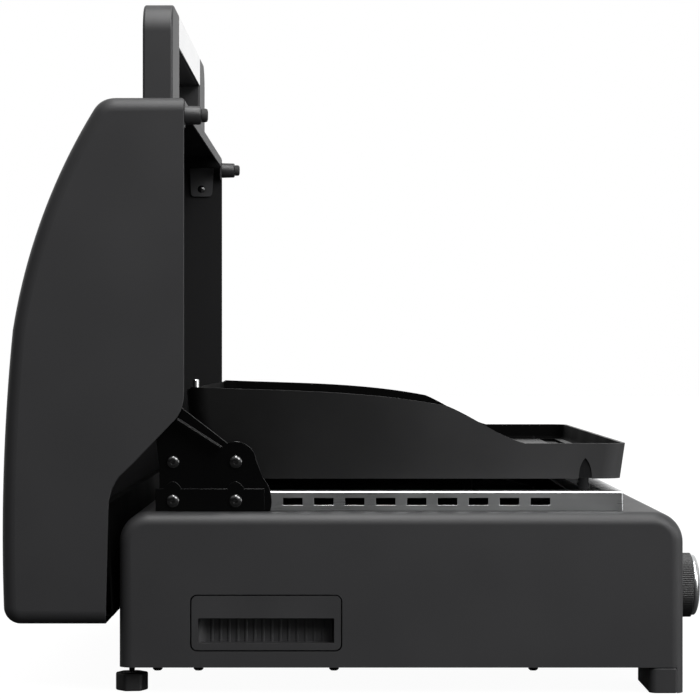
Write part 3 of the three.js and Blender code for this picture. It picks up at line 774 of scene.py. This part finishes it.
def add_bumpers():
    """The rubber-tipped buffers that the hood closes on, at the lip's two ends."""
    low, high = span("bumper_right")
    x, z = (low.x + high.x) / 2, (low.z + high.z) / 2
    radius = (high.x - low.x) / 2
    profile = [
        (0, low.y), (radius - 1.4, low.y), (radius - 0.6, low.y + 0.4), (radius - 0.3, low.y + 1.4),
        (radius, high.y - 1), (radius, high.y), (0, high.y),
    ]
    body = lathe("buffer_right", profile, x, z)
    place_pair(smooth(body), "buffer", "hood", BUMPER, ["bumper_{}"])
    low, high = span("bumper_tip_right")
    radius = (high.x - low.x) / 2
    profile = [(0, low.y), (radius - 2, low.y), (radius - 0.6, low.y + 0.5), (radius, low.y + 1.8)]
    profile += [(radius, high.y), (0, high.y)]
    tip = lathe("buffer_tip_right", profile, x, z)
    place_pair(smooth(tip), "buffer_tip", "hood", RUBBER, ["bumper_tip_{}"])


def add_handle():
    """Two posts, the bar between them and the bright strip set into the bar's face."""
    low, high = span("handle_bracket_right")
    corner = 25
    outline = [(low.x, low.z), (high.x, low.z)]
    outline += arc(high.x - corner, high.z - corner, corner, 0, 90, 18)
    outline += [(low.x, high.z)]
    post = prism("handle_post_right", outline, low.y, high.y, "y")
    place_pair(round_edges(post, 2.2, 5, 50), "handle_post", "hood", POST, ["handle_bracket_{}"])

    low, high = span("handle_bar")
    bar = prism("handle_grip_bar", rounded(low.y, high.y, low.z, high.z, 3, 6), low.x, high.x)
    place(smooth(bar), "hood", POST, "handle_bar")
    low, high = span("handle_trim")
    trim = block("handle_strip", low.x, high.x, low.y, high.y, low.z, high.z)
    place(round_edges(trim, 0.4, 2), "hood", POLISHED, "handle_trim")


# ---------------------------------------------------------------- griddle and wind guard
GRIDDLE_TOP = 249.5
GRIDDLE_HALF, GRIDDLE_REAR, GRIDDLE_CORNER = 311, 146, 18  # at the top, seen from above
DRAFT = 0.085  # how much the side and rear walls lean out for each millimetre of height
RIM_FRONT, RIM_LOW = -217.5, 202.9
FRONT_DRAFT = 0.14  # the same for the front wall
SKIRT_LOW = 173.8
WALL = 3
FLOOR_TOP = 188
FLOOR_UNDER = 184
TROUGH_FLOOR = 185.5
LEG_X = 301.5
LEG_YS = (-181.9, 118)


def griddle_block(name, inset, z0, z1):
    """A block with round corners and leaning walls, inset from the griddle's outside."""
    rings = []
    for z in (z0, z1):
        lean = inset + (GRIDDLE_TOP - z) * DRAFT
        x = GRIDDLE_HALF - lean
        front = RIM_FRONT + inset + (RIM_LOW - z) * FRONT_DRAFT
        plan = rounded(-x, x, front, GRIDDLE_REAR - lean, GRIDDLE_CORNER - inset, 10)
        rings.append([(a, b, z) for a, b in plan])
    return loft(name, rings)


def rim_outline():
    """Everything above the rim: high at the back, an S-shaped drop, then a low front."""
    outline = [(200, 300), (200, 240)]
    outline += bezier((200, 240), (147, 243), (141, 249.3), steps=8)[1:]
    outline += bezier((141, 249.3), (74.8, 246.2), (1.5, 247.5), (-69.7, 233.6), steps=22)[1:]
    outline += bezier((-69.7, 233.6), (-91.6, 224.6), (-110.4, 209.1), (-133.3, RIM_LOW), steps=14)[1:]
    return outline + [(-300, RIM_LOW), (-300, 300)]


def leg_arch(leg_y):
    """The pointed opening in the griddle's wall over a leg."""
    half, height, ahead = 5.4, 17, 1.3
    y, low = leg_y - ahead, SKIRT_LOW
    outline = [(y + half, low - 5)]
    outline += bezier((y + half, low + 3), (y + 4.5, low + 13), (y, low + height), steps=6)
    outline += bezier((y, low + height), (y - 4.5, low + 13), (y - half, low + 3), steps=6)
    return outline + [(y - half, low - 5)]


def add_griddle():
    """The plate: leaning walls cut off at the rim, a floor with a trough and drain, and leg openings."""
    plate = griddle_block("griddle", 0, SKIRT_LOW, GRIDDLE_TOP + 4)
    well = griddle_block("well", WALL, FLOOR_TOP, GRIDDLE_TOP + 8)
    round_edges(well, 3, 4, 40)
    freeze(well)
    under = griddle_block("under", WALL, SKIRT_LOW - 5, FLOOR_UNDER)
    inner, trough_front, trough_rear = 296, -204, -188
    plan = rounded(-inner, inner, trough_front, trough_rear, 6, 6)
    trough = prism("trough", plan, TROUGH_FLOOR, FLOOR_TOP + 1, "z")
    bore, drain_y = 8, (trough_front + trough_rear) / 2
    drain = lathe("drain", [(0, 150), (bore, 150), (bore, 200), (0, 200)], 0, drain_y, "z", 40)
    cut(plate, well, under, prism("rim", rim_outline(), -FAR, FAR), trough, drain)
    tools = []
    for y in LEG_YS:
        tools += [prism("arch", leg_arch(y), -FAR, -inner), prism("arch", leg_arch(y), inner, FAR)]
    cut(plate, *tools)
    place(flatten(round_edges(plate, 0.8, 3, 38)), "griddle", PLATE, "griddle_plate")
    line_inside(plate, GRIDDLE_CENTRE, SEASONED, level_limit=0.9)


def add_griddle_legs():
    """Four legs, each with a dark gusset behind its opening in the wall."""
    legs = []
    foot_low = GRIDDLE_LOW.z
    for _, sign in SIDES:
        for y in LEG_YS:
            profile = [(0, foot_low), (3.6, foot_low), (4.3, foot_low + 0.8), (4.3, foot_low + 10)]
            profile += [(3, foot_low + 10.6), (3, FLOOR_UNDER + 0.5), (0, FLOOR_UNDER + 0.5)]
            legs.append(lathe("leg", profile, sign * LEG_X, y, "z", 28))
            faces = sorted((sign * (LEG_X - 1), sign * (LEG_X + 2.9)))
            outline = [(a, max(b, SKIRT_LOW + 0.5)) for a, b in leg_arch(y)]
            legs.append(prism("gusset", outline, *faces))
    place(smooth(combine("griddle_legs", legs)), "griddle", BLACK)


def add_griddle_stud():
    """The bright stud at the griddle's rear left corner."""
    base, top = 246, 255.6
    profile = [(0, base), (2.8, base), (2.8, top - 0.7), (2.1, top), (0, top)]
    stud = lathe("griddle_stud", profile, -298.5, 138.3, "z", 28)
    place(smooth(stud), "griddle", POLISHED)


def add_wind_guard():
    """The bright slotted frame that the griddle stands on."""
    low, high = GUARD_LOW, GUARD_HIGH
    sheet, flange = 1.2, 16
    guard = block("guard", low.x, high.x, low.y, high.y, low.z - 5, high.z)
    round_edges(guard, 1.6, 4)
    freeze(guard)
    tools = [
        block("below", -FAR, FAR, -FAR, FAR, 0, low.z),
        block("inside", low.x + sheet, high.x - sheet, low.y + sheet, high.y - sheet,
              low.z - 9, high.z - sheet),
        block("mouth", low.x + flange, high.x - flange, low.y + flange, high.y - flange, 0, 300),
    ]
    slots, first, pitch, half = 9, 57.7, 25.4, 8
    slot_low, slot_high = 152.4, 158.4
    for i in range(slots):
        y = first - i * pitch
        tools.append(block("slot", -FAR, FAR, y - half, y + half, slot_low, slot_high))
    cut(guard, *tools)
    place(flatten(round_edges(guard, 0.25, 2, 50)), "root", STEEL, "wind_guard")


# ---------------------------------------------------------------- controls and gas train
def add_knobs():
    """A ribbed knob with a domed steel cap, on each valve stem."""
    low, high = span("knob_right")
    x, z = (low.x + high.x) / 2, (low.z + high.z) / 2
    radius = (high.x - low.x) / 2
    ribs, rib_depth = 96, 0.55
    steps = ribs * 6
    outline = []
    for i in range(steps):
        t = 2 * math.pi * i / steps
        r = radius - rib_depth * (0.5 - 0.5 * math.cos(ribs * t))
        outline.append((x + r * math.cos(t), z + r * math.sin(t)))
    body = prism("knob_body_right", outline, low.y, high.y, "y")
    round_edges(body, 1.2, 3, 50)
    place_pair(body, "knob_body", "knob_{}", PLASTIC, ["knob_{}"])

    low, high = span("knob_cap_right")
    radius = (high.x - low.x) / 2
    edge = high.y - 2.2
    turns = [i * 0.13 for i in range(1, 13)]
    dome = [(0, low.y)] + [(radius * math.sin(t), edge - (edge - low.y) * math.cos(t)) for t in turns]
    profile = dome + [(radius, high.y - 1), (radius - 0.6, high.y), (0, high.y)]
    cap = lathe("knob_dome_right", profile, x, z, "y", 64)
    place_pair(smooth(cap, 50), "knob_dome", "knob_{}", STEEL, ["knob_cap_{}"])


def add_button():
    """The igniter's cap, dished at its face, and its stem."""
    low, high = span("igniter_button")
    radius = (high.x - low.x) / 2
    z = (low.z + high.z) / 2
    face = low.y
    profile = [(0, face + 0.8), (radius * 0.6, face + 0.5), (radius - 1.2, face), (radius - 0.3, face + 0.4)]
    shoulder, stem = -253, 7
    profile += [(radius, face + 1.4), (radius, shoulder), (stem, shoulder), (stem, high.y), (0, high.y)]
    button = lathe("igniter_cap", profile, 0, z, "y", 48)
    place(smooth(button, 40), "igniter_button", PLASTIC, "igniter_button")


def add_burner_port_shades():
    """Two rows of black discs along the top of each burner tube, at its flame holes: painted shade in place
    of holes.
    """
    tube_x, tube_z, tube_radius = 165, 142, 12.5
    count, first, pitch, radius = 18, 100, 13, 1.6
    for side, sign in SIDES:
        port_shades = []
        for i in range(count):
            y = first - i * pitch
            for lean in (-35, 35):
                t = math.radians(90 + lean)
                x = sign * tube_x + tube_radius * math.cos(t)
                z = tube_z + tube_radius * math.sin(t)
                # Each disc sits in the tube's wall where a hole would be, and stands in for the shade inside
                # it.
                profile = [(0, z - 1), (radius, z - 1), (radius, z + 0.15), (0, z + 0.15)]
                port_shades.append(lathe("port", profile, x, y, "z", 10))
        place(combine(f"burner_port_shades_{side}", port_shades), "root", BLACK)


def add_inlet():
    """The gas fitting: a nut and a threaded spigot."""
    low, high = span("gas_inlet")
    x, z = (low.x + high.x) / 2, (low.z + high.z) / 2
    hexagon = arc(x, z, 11, 0, 300, 5)
    nut = round_edges(prism("nut", hexagon, 203, 211, "y"), 0.6, 2)
    profile = [(0, low.y), (6, low.y), (6, 202.8), (7.5, 202.8)]
    tip = 211.2
    turns = 7
    pitch = (high.y - tip) / turns
    for i in range(turns):
        profile += [(6.3, tip + i * pitch), (7, tip + (i + 0.5) * pitch)]
    profile += [(6.3, high.y), (3, high.y), (3, high.y - 6), (0, high.y - 6)]
    spigot = smooth(lathe("spigot", profile, x, z, "y", 32))
    place(combine("gas_fitting", [spigot, nut]), "root", BRASS, "gas_inlet")


def add_tray():
    """The grease tray: an open box behind a flat front with a pull."""
    low, high = span("grease_tray")
    face_y = PANEL_LOW.y + 0.4
    face = prism("tray_front", rounded(low.x, high.x, low.z, high.z, 2, 4), face_y, face_y + 1.6, "y")
    outer, inner = 87, 85.5
    body = block("body", -outer, outer, face_y + 1.4, high.y, low.z, high.z - 4)
    room = block("room", -inner, inner, face_y + 3.6, high.y - SHEET, low.z + SHEET, high.z + 5)
    cut(body, room)
    pull = prism("pull", rounded(-40, 40, low.y, face_y + 0.6, 3, 4), low.z + 12, low.z + 16, "z")
    join(face, body, pull)
    place(round_edges(face, 0.4, 2), "grease_tray", STEEL, "grease_tray")


def finish_cad_nodes():
    """Materials for the CAD pieces that are shown as they are."""
    kept = {
        BLACK: ["rear_panel", "bottom_pan"],
        ZINC: ["gas_manifold", "gas_pipe"],
        SCORCHED: ["burner_left", "burner_right", "heat_shield"],
        PLASTIC: ["igniter_module"],
        BRASS: ["valve_stem_left", "valve_stem_right", "gas_valve_left", "gas_valve_right"],
        CERAMIC: ["igniter_electrode_left", "igniter_electrode_right"],
    }
    for finish, nodes in kept.items():
        for node in nodes:
            obj = frame["nodes"][node]
            obj.data.materials.clear()
            obj.data.materials.append(finish)


# ---------------------------------------------------------------- camera, floor and light
def add_camera():
    """A long lens, square to the object's left side."""
    data = bpy.data.cameras.new("camera")
    data.lens = 136.2
    data.sensor_width = 36
    data.shift_x = 0.005
    data.shift_y = 0.0083
    camera = bpy.data.objects.new("camera", data)
    camera.location = (-2.487, 0.0136, 0.275)
    camera.rotation_euler = (math.radians(90), 0, math.radians(-90))
    bpy.context.scene.collection.objects.link(camera)
    bpy.context.scene.camera = camera


def add_floor():
    """A white floor that the camera sees lit, and that gives the object little light from below."""
    bpy.ops.mesh.primitive_plane_add(size=30, location=(0, 0, 0))
    floor = bpy.context.object
    floor.name = "floor"
    white = bpy.data.materials.new("white_floor")
    white.use_nodes = True
    tree = white.node_tree
    shader = tree.nodes["Principled BSDF"]
    shader.inputs["Base Color"].default_value = (0.02, 0.02, 0.02, 1)
    shader.inputs["Roughness"].default_value = 0.9
    shader.inputs["Emission Color"].default_value = (1, 1, 1, 1)
    path = tree.nodes.new("ShaderNodeLightPath")
    glow = tree.nodes.new("ShaderNodeMath")
    glow.operation = "MULTIPLY"
    glow.inputs[1].default_value = 0.96
    tree.links.new(path.outputs["Is Camera Ray"], glow.inputs[0])
    tree.links.new(glow.outputs["Value"], shader.inputs["Emission Strength"])
    floor.data.materials.append(white)


def add_area_light(name, location, target, size, power):
    data = bpy.data.lights.new(name, "AREA")
    data.shape = "RECTANGLE"
    data.size, data.size_y = size
    data.energy = power
    light = bpy.data.objects.new(name, data)
    light.location = location
    light.rotation_euler = (Vector(target) - Vector(location)).to_track_quat("-Z", "Y").to_euler()
    bpy.context.scene.collection.objects.link(light)
    return light


def add_lights():
    """A white studio: bright beyond the object, overhead and in front, dim at the left and behind."""
    world = bpy.data.worlds.new("studio")
    world.use_nodes = True
    tree = world.node_tree
    direction = tree.nodes.new("ShaderNodeTexCoord")
    parts = tree.nodes.new("ShaderNodeSeparateXYZ")
    tree.links.new(direction.outputs["Generated"], parts.inputs["Vector"])
    beyond = ramp(tree, parts.outputs["X"], 0.1, 0.7, 0.03, 1.0)
    above = ramp(tree, parts.outputs["Z"], 0.25, 0.85, 0.0, 0.9)
    ahead = ramp(tree, parts.outputs["Y"], -0.85, 0.0, 0.55, 0.0)
    strength = combined(tree, "MAXIMUM", combined(tree, "MAXIMUM", beyond, above), ahead)
    path = tree.nodes.new("ShaderNodeLightPath")
    seen = combined(tree, "MAXIMUM", strength, path.outputs["Is Camera Ray"])
    background = tree.nodes["Background"]
    background.inputs["Color"].default_value = (1, 1, 1, 1)
    tree.links.new(seen, background.inputs["Strength"])
    bpy.context.scene.world = world
    add_area_light("key", (-2.2, -1.4, 1.9), (0, 0, 0.2), (1.6, 1.2), 60)
    strip = add_area_light("edge_strip", (-0.9, 0, 2.4), (-0.3, 0, 0.2), (0.5, 2.4), 60)
    strip.visible_diffuse = False
    add_area_light("front", (-0.9, -2.6, 0.7), (0, 0, 0.25), (1.6, 1.2), 22)


bpy.context.scene.view_settings.view_transform = "Standard"
add_camera()
add_floor()
add_lights()
add_base()
add_front_panel()
add_rear_feet()
add_underside_screws()
add_grips()
add_hinges()
add_hinge_bolts()
add_hood()
add_bumper_tabs()
add_lip()
add_baffle()
add_bumpers()
add_handle()
add_griddle()
add_griddle_legs()
add_griddle_stud()
add_wind_guard()
add_knobs()
add_button()
add_burner_port_shades()
add_inlet()
add_tray()
finish_cad_nodes()
